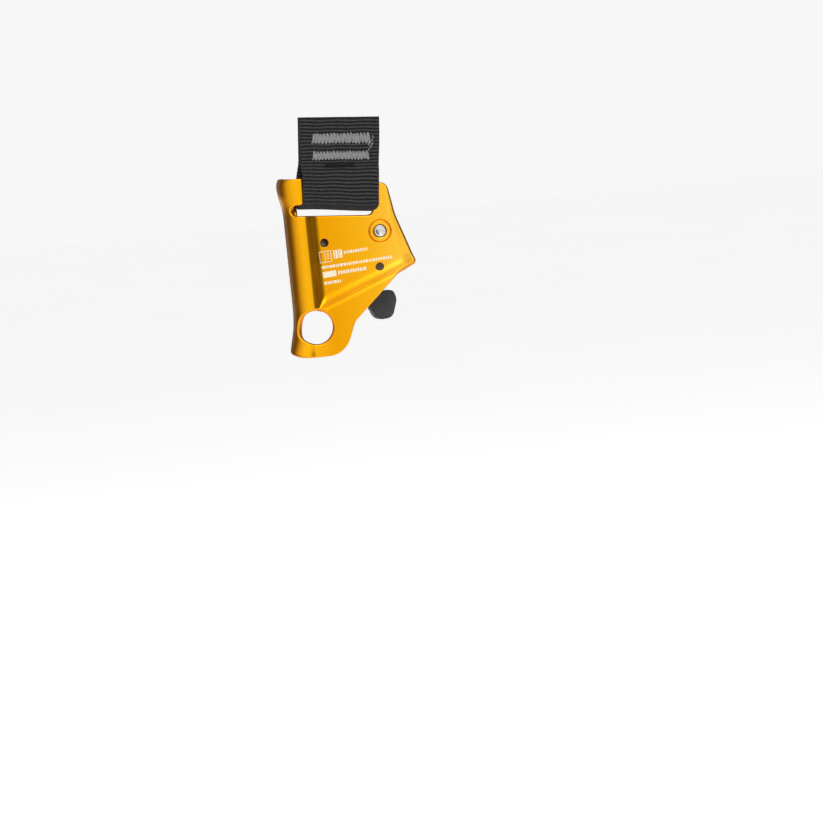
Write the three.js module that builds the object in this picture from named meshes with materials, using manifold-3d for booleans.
// A ventral rope clamp (chest ascender): a folded aluminium frame, a sprung toothed cam with a safety
// catch, and the stub of the sewn chest strap that passes through the frame's upper slot.
// Millimetres. +Z runs up the rope, -Y faces the wearer, +X points from the rope channel to the cam axle.
// The origin lies on the rope's axis, at the height of the cam axle.
import * as THREE from 'three';
import { mergeVertices } from 'three/addons/utils/BufferGeometryUtils.js';
import Module from 'manifold-3d';

const wasm = await Module();
wasm.setup();

const DEG = Math.PI / 180;
const GAP = 0.3;

// Frame sheet and rope channel
const SHEET = 3.6;
const CHANNEL_HALF = 6.6;
const CORNER_INNER = 4.4;
const CORNER_MID = CORNER_INNER + SHEET / 2;
const CORNER_OFFSET = CHANNEL_HALF - CORNER_INNER;
const CORNER_ARC = CORNER_MID * Math.PI / 2;
const CHANNEL_WALL = 2 * CORNER_OFFSET;
const CHANNEL_MID = CHANNEL_HALF + SHEET / 2;

// The plate lies deeper than the channel's back, and a soft step joins them
const PLATE_INSET = 3.6;
const PLATE_INNER = -CHANNEL_HALF + PLATE_INSET;
const PLATE_MID = -CHANNEL_MID + PLATE_INSET;
const PLATE_OUTER = PLATE_MID - SHEET / 2;
const STEP_ANGLE = 42 * DEG;
const STEP_SHOULDER_R = 3;
const RIDGE_SHOULDER_X = -1.2;
const FOOT_SHOULDER = { x: 12.2, z: -40.2, angle: 20 * DEG };

// The outer lip, folded toward the wearer along a curved line
const LIP = { topX: 48.2, topZ: 23.1, curve: 0.0033, slope: 0.466, blend: 3 };

// The channel opens slightly at both ends to guide the rope
const FLARE = {
  top: 2.3,
  topFrom: 13,
  topTo: 30,
  roll: 0.07,
  foot: 1.8,
  footFrom: -40,
  footTo: -54,
  blend: 10,
};

// Holes of the frame, on the flat blank
const EYE = { x: 0, z: -50.5, r: 9.5 };
const SLOT = { left: [-4.3, 16.3], right: [37.1, 12.7], r: 3 };
const DRAIN_HOLES = [[9.9, -3.4], [40.8, -20.3]];
const DRAIN_R = 2.4;

// Cam and axle
const AXLE = { x: 43.1, z: 0, r: 2.6, footR: 3.6, headR: 5.4 };
const CAM_BACK = PLATE_INNER + 1.3;
const CAM_FRONT = CHANNEL_HALF - GAP;
const CAM_MID = (CAM_BACK + CAM_FRONT) / 2;
const CAM_HUB_R = 10.6;
const CAM_PRESSURE = 29 * DEG;
const CAM_REACH = 46.2;
const CAM_BORE_R = 4.5;
const BUSH_R = CAM_BORE_R - GAP;
const SPRING_POCKET_R = 8.6;
const SPRING_POCKET_DEPTH = 4.2;
const TOOTH = { height: 1.4, sunk: 0.8, radius: 0.8, rows: 15, inner: 1.75, outer: 3.05, lean: 25 * DEG };
const MUD_SLOT = { top: -7, bottom: -22, r: 0.8, depthX: 5 };
const CAM_SPRING = { radius: 6.5, turns: 2.4, wire: 1.1, back: CAM_FRONT - 3.4, front: CAM_FRONT - 0.8 };
const WASHER_R = 8;
const SPRING_CAP = { r: 9.4, thickness: 1.6 };

// Safety catch
const CATCH_PIN = { x: 22, z: -8, r: 2 };
const CATCH_STOP = { x: 22.5, z: -17, r: 1.3 };
const CATCH_POCKET_R = 4.8;
const CATCH_POCKET_DEPTH = 3;
const CATCH_SPRING = { radius: 3.6, turns: 2, wire: 0.8, back: CAM_FRONT - 2.2, front: CAM_FRONT - 0.6 };
const LEVER_BACK = CAM_FRONT + GAP;
const LEVER_FRONT = LEVER_BACK + 2;
const TANG = { from: [43, -26], to: [40.5, -41], r: 3 };
const GRIP = { back: 4.2, front: 12.4 };
const GROOVE = { left: 33, right: 54, slant: 1.2, r: 0.8, from: -39, to: -48, count: 4 };

// Chest strap
const STRAP_T = 2.2;
const STRAP_HINGE_N = 21.5;
const STRAP_TOP_N = 52.8;
const STRAP_SPAN = [-17.2, 27.8];
const LOOP_SPAN = [-7.6, 21.3];
const THREAD_R = 0.3;
const TACK_PROUD = 0.4;
const TACKS = [
  { name: 'bar_tack_upper', s: 5.6, n: 40.7, length: 34, height: 6.2 },
  { name: 'bar_tack_lower', s: 5.2, n: 31, length: 33, height: 5 },
  { name: 'bar_tack_black', s: 4.6, n: 25, length: 18, height: 1.4 },
];

// ---------------------------------------------------------------- solids and booleans

function solid(geometry) {
  const bare = geometry.clone();
  bare.deleteAttribute('normal');
  bare.deleteAttribute('uv');
  const merged = mergeVertices(bare, 1e-4);
  const index = merged.index.array;
  return new wasm.Manifold(new wasm.Mesh({
    numProp: 3,
    vertProperties: new Float32Array(merged.attributes.position.array),
    triVerts: new Uint32Array(index),
  }));
}

function geometryOf(body) {
  const mesh = body.getMesh();
  const geometry = new THREE.BufferGeometry();
  geometry.setAttribute('position', new THREE.BufferAttribute(mesh.vertProperties, 3));
  geometry.setIndex(new THREE.BufferAttribute(mesh.triVerts, 1));
  return geometry;
}

function cut(body, ...tools) {
  return tools.reduce((rest, tool) => rest.subtract(tool), body);
}

function join(body, ...others) {
  return others.reduce((whole, other) => whole.add(other), body);
}

// A closed outline through corner points [x, z, radius], with each corner rounded to its radius.
function roundedOutline(corners, stepAngle = 18 * DEG) {
  const outline = [];
  corners.forEach(([x, z, radius = 0], i) => {
    const corner = new THREE.Vector2(x, z);
    if (radius === 0) {
      outline.push(corner);
      return;
    }
    const before = corners[(i + corners.length - 1) % corners.length];
    const after = corners[(i + 1) % corners.length];
    const toBefore = new THREE.Vector2(before[0] - x, before[1] - z).normalize();
    const toAfter = new THREE.Vector2(after[0] - x, after[1] - z).normalize();
    const half = Math.acos(THREE.MathUtils.clamp(toBefore.dot(toAfter), -1, 1)) / 2;
    const bisector = toBefore.clone().add(toAfter).normalize();
    const centre = corner.clone().addScaledVector(bisector, radius / Math.sin(half));
    const start = corner.clone().addScaledVector(toBefore, radius / Math.tan(half)).sub(centre);
    const sweep = (Math.PI - 2 * half) * Math.sign(toAfter.cross(toBefore));
    const turns = Math.max(2, Math.ceil(Math.abs(sweep) / stepAngle));
    for (let k = 0; k <= turns; k += 1) {
      const spoke = start.clone().rotateAround(new THREE.Vector2(), sweep * k / turns);
      outline.push(centre.clone().add(spoke));
    }
  });
  return outline;
}

function circleOutline(x, z, r, sides = 24) {
  return Array.from({ length: sides }, (_, i) => {
    const a = 2 * Math.PI * i / sides;
    return new THREE.Vector2(x + r * Math.cos(a), z + r * Math.sin(a));
  });
}

function capsuleOutline([x0, z0], [x1, z1], r, turns = 8) {
  const along = Math.atan2(z1 - z0, x1 - x0);
  const outline = [];
  [[x1, z1, along - Math.PI / 2], [x0, z0, along + Math.PI / 2]].forEach(([x, z, from]) => {
    for (let k = 0; k <= turns; k += 1) {
      const a = from + Math.PI * k / turns;
      outline.push(new THREE.Vector2(x + r * Math.cos(a), z + r * Math.sin(a)));
    }
  });
  return outline;
}

// An outline in x and z, as thick as yMin to yMax.
function slab(outline, yMin, yMax) {
  const geometry = new THREE.ExtrudeGeometry(new THREE.Shape(outline), {
    depth: yMax - yMin,
    bevelEnabled: false,
  });
  return geometry.rotateX(Math.PI / 2).translate(0, yMax, 0);
}

// A section in y and z, extruded along x.
function bar(section, xMin, xMax) {
  const geometry = new THREE.ExtrudeGeometry(new THREE.Shape(section), {
    depth: xMax - xMin,
    bevelEnabled: false,
  });
  const turn = new THREE.Matrix4().makeBasis(
    new THREE.Vector3(0, 1, 0),
    new THREE.Vector3(0, 0, 1),
    new THREE.Vector3(1, 0, 0),
  );
  return geometry.applyMatrix4(turn).translate(xMin, 0, 0);
}

function rod(x, z, r, yMin, yMax, sides = 28) {
  const geometry = new THREE.CylinderGeometry(r, r, yMax - yMin, sides);
  return geometry.translate(x, (yMin + yMax) / 2, z);
}

// A body of revolution about the line x, z, from a closed profile of [radius, y] points.
function turned(x, z, profile, sides = 32) {
  const points = profile.map(([r, y]) => new THREE.Vector2(r, y));
  return new THREE.LatheGeometry(points, sides).translate(x, 0, z);
}

function washerSolid(x, z, inner, outer, yMin, yMax) {
  return turned(x, z, [[inner, yMin], [outer, yMin], [outer, yMax], [inner, yMax], [inner, yMin]]);
}

// ---------------------------------------------------------------- folded frame

// How far the sheet has dropped from the raised level at a distance past the shoulder of the step.
function stepDrop(distance) {
  const shoulderRun = STEP_SHOULDER_R * Math.sin(STEP_ANGLE);
  const shoulderDrop = STEP_SHOULDER_R * (1 - Math.cos(STEP_ANGLE));
  const filletR = (PLATE_INSET - shoulderDrop) / (1 - Math.cos(STEP_ANGLE));
  const run = shoulderRun + filletR * Math.sin(STEP_ANGLE);
  if (distance <= 0) return 0;
  if (distance < shoulderRun) return STEP_SHOULDER_R - Math.sqrt(STEP_SHOULDER_R ** 2 - distance ** 2);
  if (distance < run) return PLATE_INSET - filletR + Math.sqrt(filletR ** 2 - (run - distance) ** 2);
  return PLATE_INSET;
}

function lipRise(u, z) {
  const fold = LIP.topX + LIP.curve * Math.max(0, LIP.topZ - z) ** 2;
  const beyond = Math.max(0, u - fold);
  if (beyond < LIP.blend) return LIP.slope * beyond ** 2 / (2 * LIP.blend);
  return LIP.slope * (beyond - LIP.blend / 2);
}

function flare(around, z) {
  const top = THREE.MathUtils.smoothstep(z, FLARE.topFrom, FLARE.topTo);
  const roll = FLARE.roll * Math.max(0, z - FLARE.topTo) ** 2;
  const foot = Math.max(0, (z - FLARE.footFrom) / (FLARE.footTo - FLARE.footFrom));
  const share = Math.min(1, around / FLARE.blend);
  return (FLARE.top * top - roll + FLARE.foot * foot ** 2) * share ** 2 * (3 - 2 * share);
}

// The sheet's middle surface: u is the distance across the flat blank, z the height.
function middleOfSheet(u, z) {
  if (u >= -CORNER_OFFSET) {
    const alongNormal = (u - FOOT_SHOULDER.x) * -Math.sin(FOOT_SHOULDER.angle)
      + (z - FOOT_SHOULDER.z) * Math.cos(FOOT_SHOULDER.angle);
    const drop = stepDrop(u - RIDGE_SHOULDER_X) * stepDrop(alongNormal) / PLATE_INSET;
    return new THREE.Vector3(u, -CHANNEL_MID + drop - lipRise(u, z), z);
  }
  const around = -CORNER_OFFSET - u;
  const out = flare(around, z);
  const r = CORNER_MID + out;
  if (around < CORNER_ARC) {
    const a = around / CORNER_MID;
    return new THREE.Vector3(-CORNER_OFFSET - r * Math.sin(a), -CORNER_OFFSET - r * Math.cos(a), z);
  }
  const pastCorner = around - CORNER_ARC;
  if (pastCorner < CHANNEL_WALL) return new THREE.Vector3(-CHANNEL_MID - out, pastCorner - CORNER_OFFSET, z);
  const frontArc = pastCorner - CHANNEL_WALL;
  if (frontArc < CORNER_ARC) {
    const a = frontArc / CORNER_MID;
    return new THREE.Vector3(-CORNER_OFFSET - r * Math.cos(a), CORNER_OFFSET + r * Math.sin(a), z);
  }
  return new THREE.Vector3(-CORNER_OFFSET + frontArc - CORNER_ARC, CHANNEL_MID + out, z);
}

// A point w outside the middle surface of the folded sheet.
function foldedPoint(u, z, w) {
  const reach = 0.05;
  const across = middleOfSheet(u + reach, z).sub(middleOfSheet(u - reach, z));
  const up = middleOfSheet(u, z + reach).sub(middleOfSheet(u, z - reach));
  const normal = across.cross(up).normalize();
  return middleOfSheet(u, z).addScaledVector(normal, w);
}

// Splits the triangles of a mesh along the plane where one coordinate has the given value.
function sliceMesh(mesh, axis, value) {
  const side = mesh.points.map((p) => (Math.abs(p[axis] - value) < 1e-5 ? 0 : p[axis] - value));
  const cuts = new Map();
  const cutPoint = (a, b) => {
    const key = a < b ? `${a},${b}` : `${b},${a}`;
    if (!cuts.has(key)) {
      const t = side[a] / (side[a] - side[b]);
      const point = mesh.points[a].map((c, i) => c + t * (mesh.points[b][i] - c));
      point[axis] = value;
      cuts.set(key, mesh.points.push(point) - 1);
    }
    return cuts.get(key);
  };
  mesh.faces = mesh.faces.flatMap((face) => {
    const above = face.filter((i) => side[i] > 0).length;
    const below = face.filter((i) => side[i] < 0).length;
    if (above === 0 || below === 0) return [face];
    const onPlane = face.findIndex((i) => side[i] === 0);
    const lone = face.findIndex((i) => (above === 1 ? side[i] > 0 : side[i] < 0));
    const first = onPlane >= 0 ? onPlane : lone;
    const [a, b, c] = [0, 1, 2].map((k) => face[(first + k) % 3]);
    if (onPlane >= 0) return [[a, b, cutPoint(b, c)], [a, cutPoint(b, c), c]];
    const ab = cutPoint(a, b);
    const ac = cutPoint(a, c);
    return [[a, ab, ac], [ab, b, c], [ab, c, ac]];
  });
}

function steps(from, to, count) {
  return Array.from({ length: count + 1 }, (_, i) => from + (to - from) * i / count);
}

function frameBlank() {
  const outline = new THREE.Shape(roundedOutline([
    [-17, -67.5, 14],
    [15, -67.5, 14],
    [22.5, -49.6, 10],
    [50.5, -25, 12],
    [61.6, -19.4, 2.5],
    [52.6, 8.5, 40],
    [49.8, 26.8, 4.5],
    [-1, 34.3, 20],
    [-25.4, 34.3, 5],
    [-27.4, 22, 14],
    [-27.4, -34, 10],
    [-17, -49, 8],
  ]));
  outline.holes = [
    circleOutline(EYE.x, EYE.z, EYE.r, 24),
    capsuleOutline(SLOT.left, SLOT.right, SLOT.r, 6),
    circleOutline(AXLE.x, AXLE.z, AXLE.footR + GAP, 18),
    ...DRAIN_HOLES.map(([x, z]) => circleOutline(x, z, DRAIN_R, 12)),
  ].map((points) => new THREE.Path(points));
  return outline;
}

function frameGeometry() {
  const flat = new THREE.ExtrudeGeometry(frameBlank(), { depth: SHEET, bevelEnabled: false });
  flat.translate(0, 0, -SHEET / 2);
  flat.deleteAttribute('normal');
  flat.deleteAttribute('uv');
  const merged = mergeVertices(flat, 1e-4);
  const { position } = merged.attributes;
  const corners = Array.from(merged.index.array);
  const pointAt = (i) => new THREE.Vector3().fromBufferAttribute(position, i).toArray();
  const mesh = {
    points: Array.from({ length: position.count }, (_, i) => pointAt(i)),
    faces: Array.from({ length: corners.length / 3 }, (_, i) => corners.slice(3 * i, 3 * i + 3)),
  };
  const backCorner = -CORNER_OFFSET - CORNER_ARC;
  const frontCorner = backCorner - CHANNEL_WALL;
  const acrossLines = [
    ...steps(-CORNER_OFFSET, backCorner, 4),
    ...steps(frontCorner, frontCorner - CORNER_ARC, 3),
    ...steps(RIDGE_SHOULDER_X, 8.2, 4),
    ...[17, 27, 37, 48.5, 51.5, 55],
  ];
  const upLines = [-56, -48, ...steps(-43, -24, 4), 18, 25, 30];
  acrossLines.forEach((u) => sliceMesh(mesh, 0, u));
  upLines.forEach((z) => sliceMesh(mesh, 1, z));
  const geometry = new THREE.BufferGeometry();
  const folded = mesh.points.flatMap(([u, z, w]) => foldedPoint(u, z, w).toArray());
  geometry.setAttribute('position', new THREE.Float32BufferAttribute(folded, 3));
  geometry.setIndex(mesh.faces.flat());
  return geometry;
}

// ---------------------------------------------------------------- cam

// The toothed face: its distance from the axle grows steadily with the angle below the horizontal.
function camFacePoint(below) {
  const r = CAM_REACH / Math.cos(CAM_PRESSURE) * Math.exp(Math.tan(CAM_PRESSURE) * (below - CAM_PRESSURE));
  return new THREE.Vector2(AXLE.x - r * Math.cos(below), AXLE.z - r * Math.sin(below));
}

function camOutline() {
  const face = steps(-1 * DEG, 31 * DEG, 14).map((a) => camFacePoint(a)).map((p) => [p.x, p.y]);
  const hub = steps(-102 * DEG, 84 * DEG, 12).map((a) => [
    AXLE.x + CAM_HUB_R * Math.cos(a),
    AXLE.z + CAM_HUB_R * Math.sin(a),
  ]);
  return roundedOutline([
    ...face,
    [-1.2, -32.4, 2.2],
    [6, -32, 4],
    [17, -21.5, 12],
    [30, -17.5, 12],
    ...hub,
    [22, 5.6, 30],
    [5, 1.8, 6],
  ]);
}

// Two staggered files of teeth run down each side of the mud slot.
function camTeeth() {
  return steps(1 * DEG, 29.5 * DEG, TOOTH.rows - 1).flatMap((below, row) => {
    const root = camFacePoint(below);
    const outward = below - CAM_PRESSURE + TOOTH.lean;
    const offset = row % 2 ? TOOTH.outer : TOOTH.inner;
    return [-offset, offset].map((y) => {
      const cone = new THREE.ConeGeometry(TOOTH.radius, TOOTH.height + TOOTH.sunk, 6);
      cone.translate(0, (TOOTH.height - TOOTH.sunk) / 2, 0).rotateZ(Math.PI / 2).rotateY(-outward);
      return solid(cone.translate(root.x, CAM_MID + y, root.y));
    });
  });
}

function camGeometry() {
  const back = CAM_BACK - 1;
  const front = CAM_FRONT + 1;
  const mudSlot = capsuleOutline([CAM_MID, MUD_SLOT.top], [CAM_MID, MUD_SLOT.bottom], MUD_SLOT.r);
  const drilled = cut(
    solid(slab(camOutline(), CAM_BACK, CAM_FRONT)),
    solid(rod(AXLE.x, AXLE.z, CAM_BORE_R, back, front)),
    solid(rod(AXLE.x, AXLE.z, SPRING_POCKET_R, CAM_FRONT - SPRING_POCKET_DEPTH, front, 32)),
    solid(rod(CATCH_PIN.x, CATCH_PIN.z, CATCH_PIN.r + GAP, back, front, 20)),
    solid(rod(CATCH_PIN.x, CATCH_PIN.z, CATCH_POCKET_R, CAM_FRONT - CATCH_POCKET_DEPTH, front, 24)),
    solid(rod(CATCH_STOP.x, CATCH_STOP.z, CATCH_STOP.r + GAP, back, front, 16)),
    solid(bar(mudSlot, -CHANNEL_HALF, MUD_SLOT.depthX)),
  );
  return geometryOf(join(drilled, ...camTeeth()));
}

// ---------------------------------------------------------------- springs

class CoilCurve extends THREE.Curve {
  constructor(centre, spring) {
    super();
    this.centre = centre;
    this.spring = spring;
  }

  getPoint(t, target = new THREE.Vector3()) {
    const { radius, turns, back, front } = this.spring;
    const a = 2 * Math.PI * turns * t;
    return target.set(
      this.centre.x + radius * Math.cos(a),
      back + (front - back) * t,
      this.centre.z + radius * Math.sin(a),
    );
  }
}

function coilGeometry(centre, spring) {
  return new THREE.ExtrudeGeometry(new THREE.Shape(circleOutline(0, 0, spring.wire / 2, 8)), {
    steps: Math.round(spring.turns * 18),
    extrudePath: new CoilCurve(centre, spring),
    bevelEnabled: false,
  });
}

// ---------------------------------------------------------------- axle, bush, washers and pins

function camAxleGeometry() {
  const footY = PLATE_OUTER;
  const headY = LEVER_FRONT + 0.5;
  return turned(AXLE.x, AXLE.z, [
    [0, footY + 0.5],
    [1.6, footY + 0.35],
    [2.6, footY],
    [AXLE.footR - 0.3, footY - 0.05],
    [AXLE.footR, footY + 0.4],
    [AXLE.footR, PLATE_INNER],
    [AXLE.r, PLATE_INNER + 0.2],
    [AXLE.r, headY - 0.6],
    [AXLE.headR, headY - 0.6],
    [AXLE.headR, headY],
    [AXLE.headR * 0.75, headY + 0.9],
    [AXLE.headR * 0.35, headY + 1.3],
    [0, headY + 1.4],
  ], 36);
}

function catchPinGeometry() {
  const pin = CATCH_PIN;
  return turned(pin.x, pin.z, [
    [0, CAM_BACK + 0.2],
    [pin.r, CAM_BACK + 0.2],
    [pin.r, LEVER_FRONT + GAP],
    [pin.r + 1.6, LEVER_FRONT + GAP],
    [pin.r + 1.5, LEVER_FRONT + 1],
    [pin.r * 0.6, LEVER_FRONT + 1.5],
    [0, LEVER_FRONT + 1.5],
  ], 24);
}

// ---------------------------------------------------------------- catch

function leverGeometry() {
  const blade = solid(slab(roundedOutline([
    [14.5, -3.2, 5],
    [27.5, -2.2, 5],
    [36, -13, 6],
    [48, -17.5, 3.5],
    [49.5, -28, 3],
    [38, -30.5, 3],
    [31.5, -22.6, 6],
    [26.6, -15.4, 4],
    [15.2, -13.6, 5],
  ]), LEVER_BACK, LEVER_FRONT));
  const tang = solid(slab(capsuleOutline(TANG.from, TANG.to, TANG.r), LEVER_BACK, LEVER_FRONT));
  const bore = solid(rod(CATCH_PIN.x, CATCH_PIN.z, CATCH_PIN.r + GAP, LEVER_BACK - 1, LEVER_FRONT + 1, 20));
  return geometryOf(cut(join(blade, tang), bore));
}

function gripGeometry() {
  const body = solid(slab(roundedOutline([
    [36.9, -36.2, 3],
    [49.7, -34.2, 3],
    [51.4, -40, 6],
    [48, -50.4, 5],
    [38.8, -50.9, 5],
    [35.6, -44, 6],
  ]), GRIP.back, GRIP.front));
  const pocket = solid(slab(
    capsuleOutline(TANG.from, TANG.to, TANG.r + GAP),
    LEVER_BACK - GAP,
    LEVER_FRONT + GAP,
  ));
  const grooves = steps(GROOVE.from, GROOVE.to, GROOVE.count - 1).map((z) => solid(slab(
    capsuleOutline([GROOVE.left, z - GROOVE.slant], [GROOVE.right, z + GROOVE.slant], GROOVE.r, 4),
    GRIP.front - GROOVE.r,
    GRIP.front + 1,
  )));
  return geometryOf(cut(body, pocket, ...grooves));
}

// ---------------------------------------------------------------- chest strap

function tackOutline({ s, n, length, height }, margin = 0) {
  const w = length / 2 + margin;
  const h = height / 2 + margin;
  return roundedOutline([
    [s - w, n - h, 0.5],
    [s + w, n - h, 0.5],
    [s + w, n + h, 0.5],
    [s - w, n + h, 0.5],
  ], 45 * DEG);
}

function loopGeometry() {
  const outerFront = PLATE_OUTER - GAP - STRAP_T;
  const outerBack = PLATE_INNER + GAP + STRAP_T;
  const lowest = SLOT.r - GAP - STRAP_T;
  const highest = STRAP_HINGE_N - STRAP_T - GAP;
  return bar(roundedOutline([
    [outerFront, highest],
    [outerFront + STRAP_T, highest],
    [outerFront + STRAP_T, lowest + STRAP_T, 0.8],
    [outerBack - STRAP_T, lowest + STRAP_T, 0.8],
    [outerBack - STRAP_T, highest],
    [outerBack, highest],
    [outerBack, lowest, 3],
    [outerFront, lowest, 3],
  ].reverse()), LOOP_SPAN[0], LOOP_SPAN[1]);
}

function tailGeometry() {
  const body = solid(bar(roundedOutline([
    [PLATE_MID - STRAP_T, STRAP_HINGE_N - STRAP_T, STRAP_T - 0.01],
    [PLATE_MID + STRAP_T, STRAP_HINGE_N - STRAP_T, STRAP_T - 0.01],
    [PLATE_MID + STRAP_T, STRAP_TOP_N, 0.6],
    [PLATE_MID - STRAP_T, STRAP_TOP_N, 0.6],
  ]), STRAP_SPAN[0], STRAP_SPAN[1]));
  const slots = TACKS.map((tack) => solid(slab(tackOutline(tack, GAP), PLATE_MID - 5, PLATE_MID + 5)));
  return geometryOf(cut(body, ...slots));
}

function tackGeometry(tack) {
  return slab(tackOutline(tack), PLATE_MID - STRAP_T - TACK_PROUD, PLATE_MID + STRAP_T + TACK_PROUD);
}

function threadTailGeometry() {
  const y = PLATE_MID - STRAP_T - 0.8;
  const path = new THREE.CatmullRomCurve3([
    new THREE.Vector3(21.6, y, 35.5),
    new THREE.Vector3(23.4, y - 0.5, 37.2),
    new THREE.Vector3(21.9, y - 0.8, 38.6),
    new THREE.Vector3(24.2, y - 0.5, 40.4),
  ]);
  return new THREE.ExtrudeGeometry(new THREE.Shape(circleOutline(0, 0, THREAD_R, 6)), {
    steps: 14,
    extrudePath: path,
    bevelEnabled: false,
  });
}

// ---------------------------------------------------------------- assembly

const FINISH = {
  gold: { color: 0xf2a900, roughness: 0.32, metalness: 0.9 },
  steel: { color: 0xb9bab8, roughness: 0.3, metalness: 1 },
  castSteel: { color: 0x8f9192, roughness: 0.45, metalness: 1 },
  spring: { color: 0x9a9da0, roughness: 0.35, metalness: 1 },
  bronze: { color: 0xa87942, roughness: 0.4, metalness: 0.9 },
  blackPlastic: { color: 0x1c1c1d, roughness: 0.55, metalness: 0 },
  webbing: { color: 0x2b2b2c, roughness: 0.9, metalness: 0 },
  greyThread: { color: 0x8c8c8e, roughness: 0.85, metalness: 0 },
  blackThread: { color: 0x141415, roughness: 0.85, metalness: 0 },
};

const ascender = new THREE.Group();
const strap = new THREE.Group();
strap.position.set((SLOT.left[0] + SLOT.right[0]) / 2, 0, (SLOT.left[1] + SLOT.right[1]) / 2);
strap.rotation.y = Math.atan2(SLOT.left[1] - SLOT.right[1], SLOT.right[0] - SLOT.left[0]);
ascender.add(strap);

function place(group, name, geometry, finish) {
  const mesh = new THREE.Mesh(geometry, new THREE.MeshStandardMaterial(FINISH[finish]));
  mesh.name = name;
  group.add(mesh);
}

const washerBack = PLATE_INNER + GAP;
const washerInnerR = AXLE.footR + 0.2;
const capBack = CAM_FRONT + GAP;
const capFront = capBack + SPRING_CAP.thickness;
const boreR = AXLE.r + GAP;
const bush = washerSolid(AXLE.x, AXLE.z, boreR, BUSH_R, CAM_BACK, CAM_FRONT);
const innerWasher = washerSolid(AXLE.x, AXLE.z, washerInnerR, WASHER_R, washerBack, CAM_BACK - GAP);
const springCap = washerSolid(AXLE.x, AXLE.z, boreR, SPRING_CAP.r, capBack, capFront);
const stopPin = rod(CATCH_STOP.x, CATCH_STOP.z, CATCH_STOP.r, CAM_BACK + 0.2, LEVER_FRONT, 16);

place(ascender, 'frame', frameGeometry(), 'gold');
place(ascender, 'cam_axle', camAxleGeometry(), 'steel');
place(ascender, 'cam_bush', bush, 'bronze');
place(ascender, 'inner_washer', innerWasher, 'steel');
place(ascender, 'spring_cap', springCap, 'steel');
place(ascender, 'cam', camGeometry(), 'castSteel');
place(ascender, 'cam_spring', coilGeometry(AXLE, CAM_SPRING), 'spring');
place(ascender, 'catch_pin', catchPinGeometry(), 'steel');
place(ascender, 'catch_stop_pin', stopPin, 'steel');
place(ascender, 'catch_spring', coilGeometry(CATCH_PIN, CATCH_SPRING), 'spring');
place(ascender, 'catch_lever', leverGeometry(), 'steel');
place(ascender, 'catch_grip', gripGeometry(), 'blackPlastic');
place(strap, 'webbing_loop', loopGeometry(), 'webbing');
place(strap, 'webbing_tail', tailGeometry(), 'webbing');
TACKS.forEach((tack) => {
  place(strap, tack.name, tackGeometry(tack), tack.name === 'bar_tack_black' ? 'blackThread' : 'greyThread');
});
place(strap, 'thread_tail', threadTailGeometry(), 'greyThread');

export default ascender;
